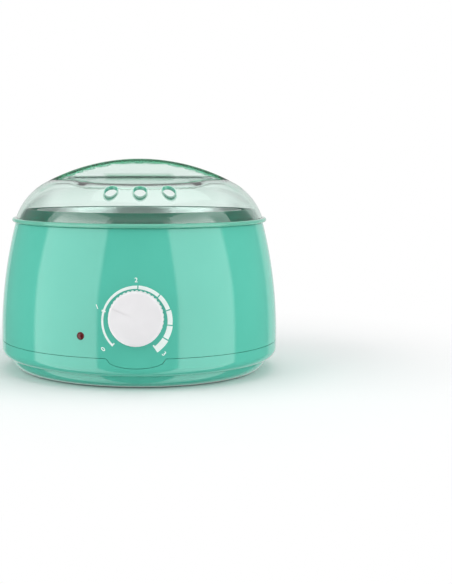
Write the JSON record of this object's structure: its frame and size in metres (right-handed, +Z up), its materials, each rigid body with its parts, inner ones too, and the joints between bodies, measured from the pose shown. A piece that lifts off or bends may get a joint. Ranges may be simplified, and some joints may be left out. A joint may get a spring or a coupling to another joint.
{
  "type": "wax warmer",
  "caption": "Barrel-shaped electric wax warmer with a heated well, a lift-out aluminium pot, a clear tinted lid with an arched grip, and a rotary thermostat dial with a pilot lamp.",
  "frame": {"origin": "on the vertical axis of the housing, in the plane that its rubber feet stand on", "axes": "+Z up along the housing's axis, the dial faces -Y and the cord entry +Y, +X to the right as seen from the dial's side"},
  "size_m": [0.185, 0.2001, 0.1401],
  "materials": {
    "housing_plastic": "smooth, soft gloss",
    "lid_plastic": "clear, lightly tinted, polished",
    "pot_aluminium": "spun and polished",
    "well_aluminium": "pressed, plain",
    "zinc_steel": "zinc plated",
    "spring_steel": "plain",
    "brass": "plain",
    "knob_plastic": "fine satin",
    "block_plastic": "plain",
    "steatite": "fired ceramic",
    "mica": "layered mica in a steel skin",
    "glass_fibre": "felted",
    "silicone": "matte",
    "rubber": "matte",
    "lens_red": "translucent red",
    "lamp_glass": "clear",
    "fuse_ceramic": "plain",
    "wire_sleeve": "silicone sleeve"
  },
  "bodies": {
    "housing": {"upper_housing": "housing_plastic", "base_housing": "housing_plastic", "heating_well": "well_aluminium", "well_seal": "silicone", "well_brackets": "zinc_steel", "bracket_screws": "zinc_steel", "heater_band": "mica", "band_screw": "zinc_steel", "insulation_sleeve": "glass_fibre", "thermostat_bracket": "zinc_steel", "thermostat_body": "steatite", "thermostat_nut": "brass", "stud_nuts": "zinc_steel", "thermal_fuse": "fuse_ceramic", "fuse_clip": "spring_steel", "indicator_lens": "lens_red", "indicator_lamp": "lamp_glass", "lamp_retainer": "spring_steel", "terminal_block": "block_plastic", "terminal_screws": "brass", "internal_wires": "wire_sleeve", "cord_gland": "rubber", "cord_clamp": "block_plastic", "clamp_screws": "zinc_steel", "housing_screws": "zinc_steel", "rubber_feet": "rubber"},
    "knob": {"control_knob": "knob_plastic", "knob_spring": "spring_steel", "thermostat_shaft": "brass"},
    "pot": {"wax_pot": "pot_aluminium"},
    "lid": {"lid": "lid_plastic"}
  },
  "joints": [
    {"name": "knob_turn", "type": "hinge", "parent": "housing", "child": "knob", "pos_m": [0, -0.0916, 0.0452], "axis": [0, -0.997, 0.0773], "range_deg": [-210, 71]},
    {"name": "pot_lift", "type": "slide", "parent": "housing", "child": "pot", "axis": [0, 0, 1], "range_m": [0, 0.08]},
    {"name": "lid_lift", "type": "slide", "parent": "pot", "child": "lid", "axis": [0, 0, 1], "range_m": [0, 0.06]}
  ]
}
